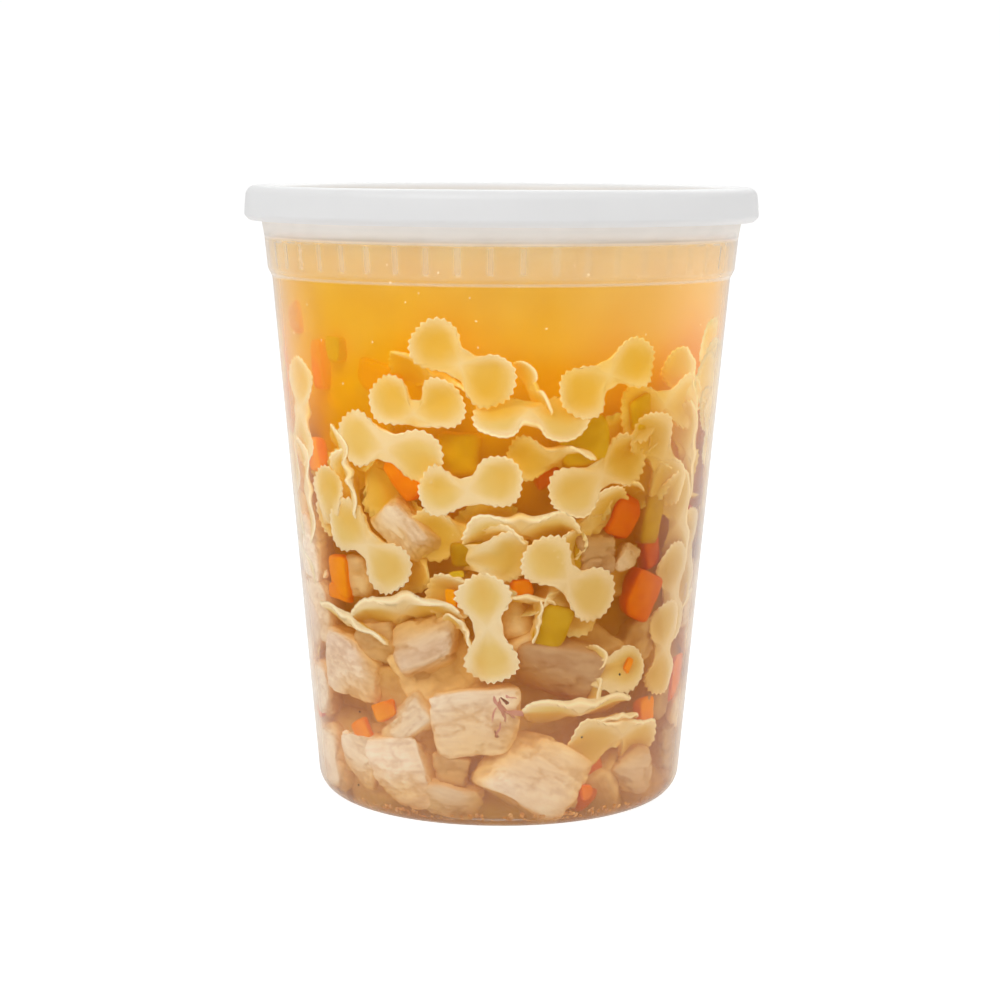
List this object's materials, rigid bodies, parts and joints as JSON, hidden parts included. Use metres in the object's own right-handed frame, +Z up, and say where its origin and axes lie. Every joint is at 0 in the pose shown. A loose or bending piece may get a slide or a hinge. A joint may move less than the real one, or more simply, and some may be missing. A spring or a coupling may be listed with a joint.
{
  "type": "chicken noodle soup in a lidded tub",
  "caption": "Chicken noodle soup filling a round clear plastic tub with a push-on lid, with bow-tie pasta, chicken, carrot and celery seen through the wall.",
  "frame": {"origin": "centre of the foot ring, on the surface that the tub stands on", "axes": "+Z up along the tub's axis; the tub and lid are round, and -Y is the side shown"},
  "size_m": [0.1196, 0.1196, 0.143],
  "materials": {
    "clear_plastic": "thin clear polypropylene with a faint haze, paler where it is seen edge-on",
    "milky_plastic": "milky translucent polypropylene, satin",
    "golden_broth": "cloudy golden broth with pale pasta, chicken, carrot and celery in it"
  },
  "bodies": {
    "root": {"container": "clear_plastic", "lid": "milky_plastic", "soup": "golden_broth"}
  },
  "joints": []
}
